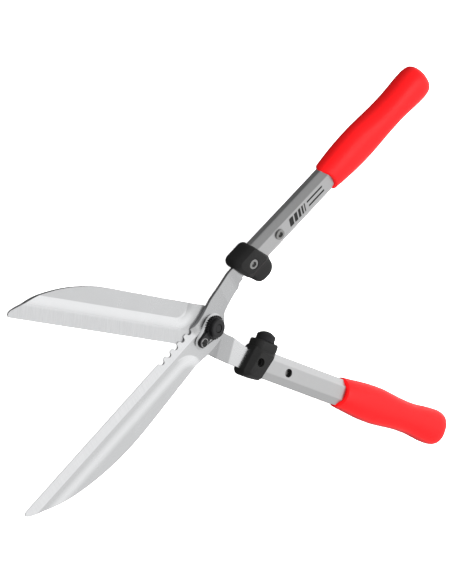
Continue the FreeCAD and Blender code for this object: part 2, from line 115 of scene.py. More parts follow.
class ShearsColours(bpy.types.PropertyGroup):
    """Base colours of the finishes."""
    steel: tint("Blade steel", "Ground and polished steel", 0.60, 0.605, 0.612)
    zinc: tint("Zinc", "Plated bolts and washers", 0.34, 0.34, 0.335)
    oxide: tint("Black oxide", "Nut, segment and pivot bolt", 0.018, 0.018, 0.019)
    # the sleeve nuts' colour is painted shade: zinc darkened for the shade deep in the handles' drillings
    sleeve: tint("Sleeve nuts", "Dulled inside of the handles' drillings", 0.055, 0.055, 0.055)
    aluminium: tint("Aluminium", "Handle tubes", 0.55, 0.552, 0.555)
    nylon: tint("Nylon", "Moulded collars", 0.012, 0.012, 0.012)
    rubber: tint("Rubber", "Buffer", 0.012, 0.012, 0.013)
    grip: tint("Grip", "Soft hand grips", 0.84, 0.006, 0.008)
    ink: tint("Ink", "Printed bars on the tube", 0.012, 0.012, 0.012)
    floor: tint("Floor", "Studio floor", 0.92, 0.92, 0.92)


def sizes():
    return bpy.context.scene.shears_sizes


def colours():
    return bpy.context.scene.shears_colours


# ---------------------------------------------------------------- frames, all in millimetres
JOINT = np.array([64.6, 20.5, 5.6])


def handle_axes():
    """Rows are the handle's x, y and z directions in the arm's frame: the arm's axes turned by the
    plan angle about z and then raised by the rise about the turned y."""
    turn, rise = sizes().handle_turn, sizes().handle_rise
    along = np.array([math.cos(turn) * math.cos(rise), math.sin(turn) * math.cos(rise), math.sin(rise)])
    across = np.array([-math.sin(turn), math.cos(turn), 0.0])
    return np.array([along, across, np.cross(along, across)])


def handle_to_arm(points):
    """Handle frame to arm frame: the joint plus each coordinate times its axis."""
    return JOINT + points @ handle_axes()


def arm_to_world(side, points):
    """Arm frame to the row frame: y mirrored for the lower arm, turned open by half the opening,
    and lifted to the contact plane."""
    placed = points * np.array([1.0, side, 1.0])
    angle = side * sizes().half_open
    c, s = math.cos(angle), math.sin(angle)
    turned = placed @ np.array([[c, s, 0.0], [-s, c, 0.0], [0.0, 0.0, 1.0]])
    return turned + np.array([0.0, 0.0, sizes().contact / MM])


def handle_to_world(side, points):
    return arm_to_world(side, handle_to_arm(points))


def side_of(arm):
    return 1.0 if arm == "upper" else -1.0


# ---------------------------------------------------------------- mesh helpers
def smoothstep(t):
    """0 below 0, 1 above 1, and 3t^2 - 2t^3 between."""
    t = np.clip(t, 0.0, 1.0)
    return t * t * (3.0 - 2.0 * t)


def ring_faces(rows, columns, start=0):
    """Quads between neighbouring rings of a grid whose columns close on themselves."""
    r = np.arange(rows - 1)[:, None]
    c = np.arange(columns)[None, :]
    a = start + r * columns + c
    b = start + r * columns + (c + 1) % columns
    return np.stack([a, b, b + columns, a + columns], axis=-1).reshape(-1, 4)


def shell(rings):
    """Closed surface from rings[row, column]: quads between rings, and a fan to the middle point of
    the first and of the last ring."""
    rows, columns, _ = rings.shape
    points = np.concatenate([rings.reshape(-1, 3), rings[:1].mean(axis=1), rings[-1:].mean(axis=1)])
    quads = ring_faces(rows, columns)
    c = np.arange(columns)
    n = (c + 1) % columns
    first = np.stack([np.full(columns, rows * columns), n, c], axis=-1)
    last_row = (rows - 1) * columns
    last = np.stack([np.full(columns, rows * columns + 1), last_row + c, last_row + n], axis=-1)
    return points, quads.tolist() + first.tolist() + last.tolist()


def mesh_object(name, points, faces, crease=40.0, merge=0.0):
    """A mesh object from points in millimetres, wound outwards, smooth except at sharp edges."""
    mesh = bpy.data.meshes.new(name)
    mesh.from_pydata((points * MM).tolist(), [], faces)
    mesh.validate()
    tidy_mesh(mesh, merge)
    mesh.shade_smooth()
    mesh.set_sharp_from_angle(angle=math.radians(crease))
    obj = bpy.data.objects.new(name, mesh)
    bpy.context.scene.collection.objects.link(obj)
    return obj


def loft(name, rings, place, side, crease=40.0, merge=0.0):
    """A mesh object from rings in an arm's or handle's frame, carried to the row frame by place."""
    points, faces = shell(rings)
    return mesh_object(name, place(side, points), faces, crease, merge)


def tidy_mesh(mesh, merge):
    """Merge points closer than merge, in millimetres, and turn all faces outwards."""
    work = bmesh.new()
    work.from_mesh(mesh)
    if merge > 0.0:
        bmesh.ops.remove_doubles(work, verts=work.verts, dist=merge * MM)
    bmesh.ops.dissolve_degenerate(work, edges=work.edges, dist=1e-7)
    bmesh.ops.recalc_face_normals(work, faces=work.faces)
    work.to_mesh(mesh)
    work.free()


def combine(target, other, operation):
    """Boolean of two closed meshes, kept as the target's mesh; the other object is removed."""
    step = target.modifiers.new("combine", "BOOLEAN")
    step.operation = operation
    step.solver = "EXACT"
    step.object = other
    graph = bpy.context.evaluated_depsgraph_get()
    result = bpy.data.meshes.new_from_object(target.evaluated_get(graph), depsgraph=graph)
    target.modifiers.remove(step)
    old = target.data
    name = old.name
    target.data = result
    bpy.data.meshes.remove(old)
    result.name = name
    bpy.data.objects.remove(other, do_unlink=True)
    if not result.polygons:
        raise RuntimeError("nothing is left of " + target.name)


def settle(obj, crease):
    """Smooth shading with sharp edges on a finished mesh."""
    obj.data.shade_smooth()
    obj.data.set_sharp_from_angle(angle=math.radians(crease))


def rounded_outline(corners, radii, steps=8):
    """Polygon with round corners: at each corner the circle that touches both sides, from one
    touching point to the other, as equal turns of its radius. Returns (corners * steps, 2)."""
    p = np.asarray(corners, dtype=float)
    r = np.broadcast_to(np.asarray(radii, dtype=float), (len(p),))[:, None]
    a = np.roll(p, 1, axis=0) - p
    b = np.roll(p, -1, axis=0) - p
    a /= np.linalg.norm(a, axis=1, keepdims=True)
    b /= np.linalg.norm(b, axis=1, keepdims=True)
    half = 0.5 * np.arccos(np.clip((a * b).sum(axis=1, keepdims=True), -1.0, 1.0))
    bisector = a + b
    bisector /= np.linalg.norm(bisector, axis=1, keepdims=True)
    centre = p + bisector * r / np.sin(half)
    start = p + a * r / np.tan(half) - centre
    end = p + b * r / np.tan(half) - centre
    swing = math.pi - 2.0 * half[:, None]
    share = np.linspace(0.0, 1.0, steps)[None, :, None]
    from_start = np.sin((1.0 - share) * swing) * start[:, None]
    to_end = np.sin(share * swing) * end[:, None]
    return (centre[:, None] + (from_start + to_end) / np.sin(swing)).reshape(-1, 2)


def stacked(levels, steps=8):
    """Loft through outlines stacked in z; levels are (z, corners, radii)."""
    rings = []
    for z, corners, radii in levels:
        outline = rounded_outline(corners, radii, steps)
        rings.append(np.column_stack([outline, np.full(len(outline), z)]))
    return np.array(rings)


def inset(corners, amount):
    """Convex corners moved inwards so that every side moves by the same amount."""
    p = np.asarray(corners, dtype=float)
    a = np.roll(p, 1, axis=0) - p
    b = np.roll(p, -1, axis=0) - p
    a /= np.linalg.norm(a, axis=1, keepdims=True)
    b /= np.linalg.norm(b, axis=1, keepdims=True)
    half = 0.5 * np.arccos((a * b).sum(axis=1, keepdims=True))
    bisector = a + b
    bisector /= np.linalg.norm(bisector, axis=1, keepdims=True)
    return p + bisector * amount / np.sin(half)


def revolved(profile, columns=64):
    """Surface of revolution about z: rows of (radius, z), each a circle of equal steps."""
    profile = np.asarray(profile, dtype=float)
    turn = np.linspace(0.0, 2.0 * math.pi, columns, endpoint=False)
    x = profile[:, :1] * np.cos(turn)
    y = profile[:, :1] * np.sin(turn)
    z = np.broadcast_to(profile[:, 1:2], x.shape)
    return np.stack([x, y, z], axis=-1)


def cylinder_rings(radius, low, high, x=0.0, y=0.0, columns=64):
    return revolved([(radius, low), (radius, high)], columns) + np.array([x, y, 0.0])


# ---------------------------------------------------------------- blades, in millimetres
LAND_END = 13.0             # outer face: the flank starts this far from the cutting edge
HOLLOW_START = 12.0         # inner face: the hollow starts
FLANK = 11.0                # width of the sloping flank on both faces
OUTER_CURVE = 1.7           # how quickly the outer flank levels off
INNER_CURVE = 1.6           # how softly the inner slope starts
NEAR_OUTER = -30.0          # x where the pressing ends before the pivot
NEAR_INNER = -24.0
PRESS_CORNER = 22.0         # radius of the pressing's corner
NOTCH_FIRST = -24.0
NOTCH_PITCH = 10.2
NOTCH_COUNT = 5
NOTCH_DROP = 1.2            # straight part above the notch's round bottom
NOTCH_MOUTH = 3.9           # how far the slanted mouth reaches towards the tip
NOTCH_SLANT = 1.35
BEVEL_RUNOUT = (-15.0, 8.0)
GROUND_END = (-17.0, 8.0)   # where the ground strip starts, and the length over which it comes
SOFT_EDGE = 0.28
TANG_BLEND = (50.0, 6.0)    # where the neck's line passes into the tang's, and over what length
# How much darker than the blade the steel's colour is made, at distances along each arm: partly duller
# steel towards the neck, partly painted shade and painted highlight (values below zero lighten) on each bent
# facet of the neck
NECK_DULLING_AND_PAINTED_LIGHT = {
    "upper": [(-34.0, 0.0), (6.0, 0.20), (27.0, 0.22), (28.0, 0.17), (43.0, 0.17), (44.5, 0.12),
              (60.0, 0.10)],
    "lower": [(-34.0, 0.0), (0.0, 0.25), (19.0, 0.40), (20.2, 0.26), (35.6, 0.22), (37.0, -0.16),
              (60.0, -0.20)],
}
SCREW_AT = (-19.1, -0.1)
BOSS_RADII = (12.8, 7.3)    # round the pivot and round the locking screw
BOSS_RIM = 3.0
PIVOT_BORE = 5.05
SCREW_BORE = 2.1
HANDLE_BORE = 4.1
HANDLE_BOLTS = (1.5, 39.2)  # the collar's bolt and the tube's bolt, along the handle
BLADE_CREASE = 22.0


def edge_line(plan, x):
    return plan["edge_y"] - x * math.tan(math.radians(plan["edge_turn"]))


def notch_depth(x):
    """Depth of the notches at x: a circle's lower half below a short straight drop, with a slanted
    mouth on the tip's side; zero between notches."""
    radius = sizes().notch / MM
    centres = NOTCH_FIRST - NOTCH_PITCH * np.arange(NOTCH_COUNT)
    offset = x[:, None] - centres[None, :]
    inside = np.abs(offset) < radius - 0.1
    bowl = np.where(inside, NOTCH_DROP + np.sqrt(np.clip(radius ** 2 - offset ** 2, 0.0, None)), 0.0)
    in_mouth = (offset <= 0.1 - radius) & (offset > -NOTCH_MOUTH)
    mouth = np.where(in_mouth, (offset + NOTCH_MOUTH) * NOTCH_SLANT, 0.0)
    return np.max(np.maximum(bowl, mouth), axis=1)


def inward(u, x, near, start):
    """Distance inside the pressed region: past its line beside the edge and past its near end, with
    the corner between them rounded by a circle."""
    a = u - start
    b = near - x
    corner = (a < PRESS_CORNER) & (b < PRESS_CORNER)
    round_part = PRESS_CORNER - np.hypot(PRESS_CORNER - a, PRESS_CORNER - b)
    return np.where(corner, round_part, np.minimum(a, b))


def outer_height(x, u):
    """Outer face: steel thickness, less the bevel that falls in a straight line to the cutting edge
    and runs out near the pivot, plus the pressing that rises steeply and levels off."""
    s = sizes()
    plate, edge, bevel = s.plate / MM, s.edge / MM, s.bevel / MM
    runout = smoothstep((BEVEL_RUNOUT[0] - x) / BEVEL_RUNOUT[1])
    ground = (plate - edge) * np.clip(1.0 - u / bevel, 0.0, 1.15) * runout
    t = np.clip(inward(u, x, NEAR_OUTER, LAND_END) / FLANK, 0.0, 1.0)
    return plate - ground + s.press / MM * (1.0 - (1.0 - t) ** OUTER_CURVE)


def inner_height(x, u):
    """Inner face: flat beside the edge, then a hollow whose slope starts softly and ends crisply."""
    t = np.clip(inward(u, x, NEAR_INNER, HOLLOW_START) / FLANK, 0.0, 1.0)
    return sizes().press / MM * t ** INNER_CURVE


def arm_stations(arm):
    """Where the rings across the arm stand: closest at the round tip and along the notches."""
    tip = TIP_X[arm]
    return np.unique(np.concatenate([
        tip + TIP_ROUND * (1.0 - np.cos(np.linspace(0.0, math.pi / 2, 14))),
        np.linspace(tip + TIP_ROUND + 0.2, -80.0, 122), np.linspace(-80.0, -18.0, 178),
        np.linspace(-18.0, NECK_END, 92), np.linspace(NECK_END + 0.4, TANG_FAR, 24),
    ]))


def arm_limits(arm, plan, x):
    """Lowest and highest y of the arm at x: curves through the plan's points, a round tip, notches
    taken off the edge, and past the neck the parallel tang about the handle's axis."""
    edge = edge_line(plan, x)
    front = np.array(plan["front"])
    high = np.where(x < front[0, 0], edge, smooth_curve(front, x))
    low = smooth_curve(np.array(plan["back"]), x)
    reach = np.clip((x - TIP_X[arm]) / TIP_ROUND, 0.0, 1.0)
    bow = np.sqrt(1.0 - (1.0 - reach) ** 2)
    at_tip = reach < 1.0
    high = np.where(at_tip, plan["tip_y"] + (high - plan["tip_y"]) * bow, high)
    low = np.where(at_tip, plan["tip_y"] + (low - plan["tip_y"]) * bow, low)
    if arm == "upper":
        high = high - notch_depth(x)
    axis = JOINT[1] + (x - JOINT[0]) * math.tan(sizes().handle_turn)
    tang = x > NECK_END
    return np.where(tang, axis - TANG_HALF, low), np.where(tang, axis + TANG_HALF, high)


def smooth_curve(points, x):
    """Monotone cubic through points sorted by x: Hermite pieces whose slopes are the harmonic means
    of the neighbouring chords."""
    px, py = points[:, 0], points[:, 1]
    step = np.diff(px)
    chord = np.diff(py) / step
    slope = np.empty_like(py)
    same = chord[:-1] * chord[1:] > 0.0
    mean = 2.0 * chord[:-1] * chord[1:] / np.where(same, chord[:-1] + chord[1:], 1.0)
    slope[1:-1] = np.where(same, mean, 0.0)
    slope[0], slope[-1] = chord[0], chord[-1]
    at = np.clip(x, px[0], px[-1])
    i = np.clip(np.searchsorted(px, at) - 1, 0, len(step) - 1)
    t = (at - px[i]) / step[i]
    return ((1 + 2 * t) * (1 - t) ** 2 * py[i] + t * (1 - t) ** 2 * step[i] * slope[i]
            + t * t * (3 - 2 * t) * py[i + 1] + t * t * (t - 1) * step[i] * slope[i + 1])


def arm_rise(plan, x):
    """Height of the plate's middle above its flat: straight runs between bends, then the line of the
    handle's axis."""
    s = sizes()
    stations = np.array(plan["rise"])
    rise = np.interp(x, stations[:, 0], stations[:, 1])
    offset = (s.gap / 2 + s.plate / 2) / MM
    middle = offset if plan is UPPER_PLAN else -offset
    slope = math.tan(s.handle_rise) / math.cos(s.handle_turn)
    axis = JOINT[2] + (x - JOINT[0]) * slope - middle
    share = smoothstep((x - TANG_BLEND[0]) / TANG_BLEND[1])
    return rise * (1.0 - share) + axis * share


def arm_rings(arm):
    """The whole arm as rings across it: the top row from the edge to the back at fixed distances
    from the edge, a softened wall, the bottom row back again, and the other wall."""
    plan = UPPER_PLAN if arm == "upper" else LOWER_PLAN
    s = sizes()
    x = arm_stations(arm)
    low, high = arm_limits(arm, plan, x)
    edge = edge_line(plan, x)
    cosine = math.cos(math.radians(plan["edge_turn"]))
    near = ((edge - high) * cosine)[:, None]
    far = ((edge - low) * cosine)[:, None]
    bevel = s.bevel / MM
    levels = np.unique(np.round(np.concatenate([
        np.arange(-28.0, 0.0, 2.5), np.linspace(0.0, bevel, 11), [bevel + 0.3, bevel + 1.6],
        np.linspace(HOLLOW_START, 25.0, 27), np.arange(26.5, 56.0, 2.5)]), 3))[None, :]
    xx = np.broadcast_to(x[:, None], (len(x), levels.shape[1]))
    thick = outer_height(x[:, None], near) - inner_height(x[:, None], near)
    soft = np.minimum(np.minimum(SOFT_EDGE, 0.3 * thick), 0.45 * (far - near))
    flat = np.clip(levels, near + soft, far - soft)
    outer = outer_height(xx, flat)
    inner = inner_height(xx, flat)
    gap = s.gap / 2 / MM
    if arm == "upper":
        top, bottom = outer + gap, inner + gap
    else:
        top, bottom = -inner - gap, -outer - gap
    lift = arm_rise(plan, x)[:, None]
    top, bottom = top + lift, bottom + lift
    u = np.concatenate([flat, far, far, flat[:, ::-1], near, near], axis=1)
    z = np.concatenate([
        top, top[:, -1:] - soft, bottom[:, -1:] + soft, bottom[:, ::-1],
        bottom[:, :1] + soft, top[:, :1] - soft], axis=1)
    xs = np.broadcast_to(x[:, None], u.shape)
    y = edge[:, None] - u / cosine
    return np.stack([xs, y, z], axis=-1)


def write_blade_fields(obj, arm):
    """Point fields for the finish: how far along and from the edge a point is, in millimetres, how
    much it belongs to the ground strip beside the edge, and how much darker the neck is: duller steel,
    with painted shade and painted highlight on each bent facet."""
    plan = UPPER_PLAN if arm == "upper" else LOWER_PLAN
    mesh = obj.data
    co = np.empty(len(mesh.vertices) * 3)
    mesh.vertices.foreach_get("co", co)
    co = co.reshape(-1, 3) / MM
    side = side_of(arm)
    back_turn = -side * sizes().half_open
    c, s = math.cos(back_turn), math.sin(back_turn)
    x = c * co[:, 0] - s * co[:, 1]
    y = (s * co[:, 0] + c * co[:, 1]) * side
    u = (edge_line(plan, x) - y) * math.cos(math.radians(plan["edge_turn"]))
    width = sizes().bevel / MM if arm == "upper" else HOLLOW_START + 2.0
    ground = smoothstep((width - u) / 1.2) * smoothstep((GROUND_END[0] - x) / GROUND_END[1])
    place = np.stack([x, u, co[:, 2]], axis=-1)
    field = mesh.attributes.new("blade_place", "FLOAT_VECTOR", "POINT")
    field.data.foreach_set("vector", place.astype(np.float32).ravel())
    neck_paint_steps = np.array(NECK_DULLING_AND_PAINTED_LIGHT[arm])
    # duller neck steel plus painted shade and painted highlight for each bent facet of the neck
    neck = np.interp(x, neck_paint_steps[:, 0], neck_paint_steps[:, 1])
    for name, values in (("ground", ground), ("neck", neck)):
        mesh.attributes.new(name, "FLOAT", "POINT").data.foreach_set("value", values.astype(np.float32))


def teardrop_rings(levels, steps=24):
    """Rings round two circles, one at the pivot and one at the locking screw: two arcs joined by
    their common tangents. levels are (inset, z)."""
    away = np.array(SCREW_AT)
    reach = np.linalg.norm(away)
    away = away / reach
    across = np.array([-away[1], away[0]])
    lean = math.asin((BOSS_RADII[0] - BOSS_RADII[1]) / reach)
    big = np.linspace(math.pi / 2 - lean, 3 * math.pi / 2 + lean, 2 * steps)
    small = np.linspace(-math.pi / 2 + lean, math.pi / 2 - lean, steps)
    rings = []
    for amount, z in levels:
        first = BOSS_RADII[0] - amount
        second = BOSS_RADII[1] - amount
        one = first * (np.cos(big)[:, None] * away + np.sin(big)[:, None] * across)
        two = away * reach + second * (np.cos(small)[:, None] * away + np.sin(small)[:, None] * across)
        plan = np.concatenate([one, two])
        rings.append(np.column_stack([plan, np.full(len(plan), z)]))
    return np.array(rings)


def drill(obj, place, side, radius, low, high, x=0.0, y=0.0):
    """A round hole along z, from low to high."""
    combine(obj, loft("drill", cylinder_rings(radius, low, high, x, y), place, side), "DIFFERENCE")


def make_arm(arm):
    """One arm of pressed steel, the upper one with its pad under the nut, drilled for the pivot and
    the handle's bolts."""
    side = side_of(arm)
    obj = loft(arm + "_blade_steel", arm_rings(arm), arm_to_world, side, BLADE_CREASE, 0.004)
    if arm == "upper":
        s = sizes()
        base = (s.plate + s.gap / 2) / MM
        top = base + s.boss / MM
        boss = teardrop_rings([
            (0.0, base - 0.8), (0.0, base + 0.02), (0.35, base + 0.22), (BOSS_RIM - 0.4, top - 0.14),
            (BOSS_RIM, top - 0.02), (BOSS_RIM + 0.3, top)])
        combine(obj, loft("boss", boss, arm_to_world, side), "UNION")
    drill(obj, arm_to_world, side, PIVOT_BORE, -20.0, 20.0)
    for x in HANDLE_BOLTS:
        drill(obj, handle_to_world, side, HANDLE_BORE, -9.0, 9.0, x)
    if arm == "upper":
        drill(obj, arm_to_world, side, SCREW_BORE, -20.0, 20.0, *SCREW_AT)
    settle(obj, BLADE_CREASE)
    write_blade_fields(obj, arm)
    finish_piece(obj, arm, steel_material(), "blade_steel", arm + "_blade")


def finish_piece(obj, arm, material, slot, *nodes):
    """Material, body and the CAD nodes that a new piece stands for; the slot argument is not used."""
    obj.data.materials.clear()
    obj.data.materials.append(material)
    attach(obj, UPPER_BODY if arm == "upper" else LOWER_BODY)
    if nodes:
        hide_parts(*nodes)


# ---------------------------------------------------------------- collars, buffer, grips, printed bars
ANVIL_BLOCK = [(-17.0, 15.0), (11.0, 15.0), (20.0, -13.0), (-8.0, -13.0)]
BUFFER_BLOCK = [(-13.5, 16.5), (9.0, 16.5), (19.5, -15.0), (-6.5, -15.0)]
LOBE_PLAN = [(-5.6, -2.0), (19.2, -2.0), (18.6, -27.0), (-4.2, -27.0)]
EAR_PLAN = [(-13.0, -9.6), (13.0, -9.6), (13.0, 9.6), (-13.0, 9.6)]
TUBE_SECTION = [(-12.8, 3.35), (-6.6, 7.6), (6.6, 7.6), (12.8, 3.35),
                (12.8, -3.35), (6.6, -7.6), (-6.6, -7.6), (-12.8, -3.35)]
TUBE_START = -3.1
HEAD_BORE = 5.1
COLLAR_TOP = 10.6
COLLAR_CREASE = 32.0
BUFFER_X = 6.5
BUFFER_REACH = 29.8
BUFFER_SEAT = 5.1
DOME_RADIUS = 12.5


def collar_underside(corners, radius):
    """The lower half of a collar's block, from its flat bottom over a wide rounding to its walls."""
    return [
        (-COLLAR_TOP, inset(corners, 3.4), radius - 2.6),
        (-COLLAR_TOP + 0.15, inset(corners, 2.8), radius - 2.2),
        (-9.4, inset(corners, 1.3), radius - 1.0), (-7.6, inset(corners, 0.3), radius - 0.2),
        (-6.2, corners, radius),
    ]


def finish_collar(obj, arm, node):
    """Room for the tube's end and the bolt's drilling, then shading and finish."""
    side = side_of(arm)
    y, z = np.array(TUBE_SECTION).T
    socket = np.stack([np.column_stack([np.full(len(y), x), y, z]) for x in (TUBE_START, 60.0)])
    combine(obj, loft("socket", socket, handle_to_world, side), "DIFFERENCE")
    drill(obj, handle_to_world, side, HANDLE_BORE, -30.0, 30.0, HANDLE_BOLTS[0])
    if arm == "upper":
        drill(obj, handle_to_world, side, HEAD_BORE, 7.6, 30.0, HANDLE_BOLTS[0])
    settle(obj, COLLAR_CREASE)
    finish_piece(obj, arm, nylon_material(), "black_polymer", node)


def make_anvil_collar():
    """Block with a raised U-shaped plateau round the bolt, sloping away outwards and to the neck,
    and a rounded lobe at a lower level."""
    levels = collar_underside(ANVIL_BLOCK, 6.0) + [
        (2.4, ANVIL_BLOCK, 6.0),
        (5.2, [(-16.7, 14.8), (11.0, 14.8), (20.0, -13.0), (-7.9, -13.0)], [6.0, 4.0, 4.0, 6.0]),
        (7.6, [(-15.4, 14.0), (11.0, 14.0), (19.8, -12.4), (-7.7, -12.4)], [6.0, 3.0, 3.4, 6.0]),
        (9.7, [(-12.7, 12.75), (10.9, 12.75), (17.3, -8.0), (-7.2, -8.0)], [5.0, 1.4, 2.4, 7.0]),
        (10.1, [(-12.1, 12.45), (10.8, 12.45), (16.9, -7.5), (-7.0, -7.5)], [4.6, 1.2, 2.2, 7.0]),
        (10.45, [(-11.9, 12.3), (10.6, 12.3), (16.6, -7.2), (-6.8, -7.2)], [4.6, 1.2, 2.2, 7.0]),
        (10.6, [(-11.5, 12.0), (10.3, 12.0), (16.2, -6.9), (-6.4, -6.9)], [4.4, 1.0, 2.0, 6.8]),
    ]
    obj = loft("anvil_collar_moulding", stacked(levels), handle_to_world, 1.0)
    levels = []
    for z, amount, root in ((-7.6, 2.6, 0.3), (-7.4, 2.0, 0.4), (-6.3, 0.7, 0.5), (-4.6, 0.0, 1.0),
                            (4.2, 0.0, 1.0), (6.2, 0.6, 0.5), (7.4, 1.7, 0.4), (7.75, 2.6, 0.3),
                            (8.1, 5.5, 0.3)):
        levels.append((z, inset(LOBE_PLAN, amount), [root, root, 10.4 - amount, 9.8 - amount]))
    combine(obj, loft("lobe", stacked(levels), handle_to_world, 1.0), "UNION")
    finish_collar(obj, "upper", "anvil_collar")


def across_handle(rings):
    """Rings stacked along z turned so that their axis points from the handle to the other arm."""
    x, y, z = rings[..., 0], rings[..., 1], rings[..., 2]
    return np.stack([x + BUFFER_X, -z, y], axis=-1)


def make_buffer_collar():
    """Block with wide sloping shoulders round a raised plateau, and a flange that carries the
    buffer's round seat."""
    levels = collar_underside(BUFFER_BLOCK, 5.0) + [
        (3.4, BUFFER_BLOCK, [5.0, 4.0, 4.0, 5.0]),
        (6.4, [(-12.7, 16.2), (9.0, 16.2), (19.3, -14.6), (-6.0, -14.6)], [5.0, 3.0, 3.0, 4.5]),
        (9.9, [(-8.9, 14.1), (8.2, 14.1), (16.2, -10.1), (-1.4, -10.1)], [3.6, 1.8, 2.4, 3.4]),
        (10.3, [(-8.3, 13.7), (8.0, 13.7), (15.8, -9.7), (-0.9, -9.7)], [3.4, 1.6, 2.2, 3.2]),
        (10.6, [(-7.7, 13.3), (7.7, 13.3), (15.3, -9.3), (-0.4, -9.3)], [3.2, 1.4, 2.0, 3.0]),
    ]
    obj = loft("buffer_collar_moulding", stacked(levels), handle_to_world, -1.0)
    levels = []
    for z, amount in ((9.0, 1.2), (12.4, 0.4), (14.2, 0.0), (18.6, 0.0), (19.9, 0.5), (20.4, 1.4),
                      (20.5, 2.4)):
        levels.append((z, inset(EAR_PLAN, amount), 6.8 - amount))
    combine(obj, loft("flange", across_handle(stacked(levels)), handle_to_world, -1.0), "UNION")
    seat = across_handle(cylinder_rings(BUFFER_SEAT, 14.0, 30.0))
    combine(obj, loft("seat", seat, handle_to_world, -1.0), "DIFFERENCE")
    finish_collar(obj, "lower", "buffer_collar")


def make_buffer():
    """Stem, drum and shallow dome as one surface of revolution; the dome is an arc of a sphere that
    meets the drum over a rounded rim."""
    radius = sizes().buffer / MM
    arc = np.linspace(math.asin((radius - 0.7) / DOME_RADIUS), 0.015, 14)
    crown = np.column_stack([DOME_RADIUS * np.sin(arc), BUFFER_REACH - DOME_RADIUS * (1.0 - np.cos(arc))])
    rim_low = crown[0, 1] - 1.1
    profile = [(0.3, 14.2), (4.6, 14.2), (5.0, 14.6), (5.0, 20.55), (radius + 0.5, 20.6),
               (radius + 0.55, 21.0), (radius + 0.1, 21.6), (radius, 22.2), (radius, rim_low),
               (radius - 0.15, rim_low + 0.5)]
    rings = across_handle(revolved(np.concatenate([np.array(profile), crown]), 72))
    obj = loft("rubber_buffer_dome", rings, handle_to_world, -1.0, 30.0)
    finish_piece(obj, "lower", rubber_material(), "buffer_rubber", "rubber_buffer")


# Half width and half thickness of the grip along the handle
GRIP_SHAPE = np.array([
    (107.0, 14.0, 10.6), (112.0, 14.6, 11.4), (120.0, 15.4, 12.4), (129.0, 16.3, 12.9), (138.0, 17.1, 13.2),
    (147.0, 17.5, 13.3), (156.0, 17.6, 13.4), (165.0, 17.1, 13.5), (174.0, 16.2, 13.7), (183.0, 15.4, 13.8),
    (192.0, 14.9, 13.8), (201.0, 14.8, 13.8), (210.0, 15.4, 13.9), (219.0, 16.3, 14.0), (227.0, 16.9, 14.1),
    (232.0, 17.0, 14.1), (237.0, 16.4, 13.6), (240.5, 15.2, 12.6), (243.0, 13.1, 10.9), (244.5, 10.4, 8.7),
    (245.1, 7.0, 6.0), (245.2, 1.0, 0.9)])
TUBE_HALF = (12.75, 7.55)
GRIP_SQUARENESS = 2.25      # 2 is an ellipse
SCALLOP = 4.6
# Two rings sunk in the tube: (place from the grip's first ring, inwards from the tube's faces)
GRIP_ROOT = [(3.0, 1.6), (-1.2, 1.2)]
# The mouth's lip from the inside out: (place from the grip's first ring, inwards from it)
GRIP_LIP = [(-1.5, 3.6), (-1.4, 2.3), (-0.9, 1.1), (-0.2, 0.35)]


def make_grip(arm):
    """Oval loft: half width and half thickness are smooth functions of the distance along the handle.
    The mouth is scalloped, further back over the tube's flat faces than at its sides, and rolls in
    to the tube over a rounded lip."""
    start = sizes().grip_start / MM + 1.5
    turn = np.linspace(0.0, 2.0 * math.pi, 96, endpoint=False)
    power = 2.0 / GRIP_SQUARENESS
    unit_y = np.sign(np.cos(turn)) * np.abs(np.cos(turn)) ** power
    unit_z = np.sign(np.sin(turn)) * np.abs(np.sin(turn)) ** power
    scallop = SCALLOP * np.abs(np.sin(turn)) ** 1.6
    closing = 1.0 - 0.1 * (1.0 - np.linspace(0.0, 1.0, 24)[1:]) ** 2
    share = np.concatenate([np.linspace(0.0, 0.9, 70), closing])[:, None]
    x = start + scallop[None, :] * (1.0 - share) ** 3 + (GRIP_SHAPE[-1, 0] - start) * share
    width = smooth_curve(GRIP_SHAPE[:, (0, 1)], x)
    thick = smooth_curve(GRIP_SHAPE[:, (0, 2)], x)
    body = np.stack([x, width * unit_y, thick * unit_z], axis=-1)

    def oval(offset, half_width, half_thick):
        return np.stack([x[0] + offset, half_width * unit_y, half_thick * unit_z], axis=-1)

    inside = [oval(at, TUBE_HALF[0] - sunk, TUBE_HALF[1] - sunk) for at, sunk in GRIP_ROOT]
    lip = [oval(at, width[0] - inwards, thick[0] - inwards) for at, inwards in GRIP_LIP]
    obj = loft(arm + "_grip_sleeve", np.concatenate([inside, lip, body]), handle_to_world, side_of(arm), 50.0)
    finish_piece(obj, arm, grip_material(), "red_grip", arm + "_grip")


BAR_TOP = 7.52
BAR_START = 52.0
BAR_WIDTHS = (5.2, 4.0, 3.0, 2.1, 1.3)
BAR_HALF = 4.2
BAR_SLANT = 2.6


def make_printed_bars():
    """Generic decoration on the upper tube: slanted bars of falling width and two thin rules, each a
    thin slab just proud of the tube's flat face."""
    shapes = []
    at = BAR_START
    for width in BAR_WIDTHS:
        shapes.append([(at, -BAR_HALF), (at + width, -BAR_HALF), (at + width + BAR_SLANT, BAR_HALF),
                       (at + BAR_SLANT, BAR_HALF)])
        at += width + 1.5
    for low in (-3.4, 1.6):
        shapes.append([(at + 3.0, low), (at + 24.0, low), (at + 24.6, low + 1.8), (at + 3.6, low + 1.8)])
    points, faces = [], []
    count = 0
    for corners in shapes:
        slab, slab_faces = shell(stacked([(BAR_TOP - 0.3, corners, 0.3), (BAR_TOP, corners, 0.3)], 4))
        points.append(slab)
        faces += [[index + count for index in face] for face in slab_faces]
        count += len(slab)
    obj = mesh_object("handle_printed_bars", handle_to_world(1.0, np.concatenate(points)), faces)
    finish_piece(obj, "upper", ink_material(), "black_polymer")


